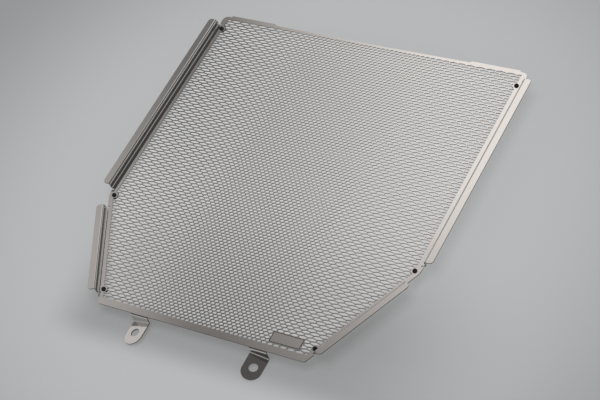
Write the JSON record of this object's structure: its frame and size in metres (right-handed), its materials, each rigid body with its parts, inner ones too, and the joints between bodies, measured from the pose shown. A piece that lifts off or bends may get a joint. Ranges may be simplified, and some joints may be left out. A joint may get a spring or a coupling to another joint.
{
  "type": "motorcycle radiator guard",
  "caption": "Folded stainless mesh sheet with side flanges, set-back drilled lugs and rubber buffers, which guards the front of a motorcycle radiator.",
  "frame": {"origin": "under the middle of the guard's box, on the plane that the outer corners of its lugs reach", "axes": "+Z out of the front face, +Y towards the top edge with its tabs, +X to the right seen from the front"},
  "size_m": [0.328, 0.3454, 0.0162],
  "materials": {
    "stainless": "satin",
    "rubber": "matte"
  },
  "bodies": {
    "root": {"guard_sheet": "stainless", "buffer_top_left": "rubber", "buffer_top_right": "rubber", "buffer_middle_left": "rubber", "buffer_middle_right": "rubber", "buffer_low_left": "rubber", "buffer_low_right": "rubber"}
  },
  "joints": []
}
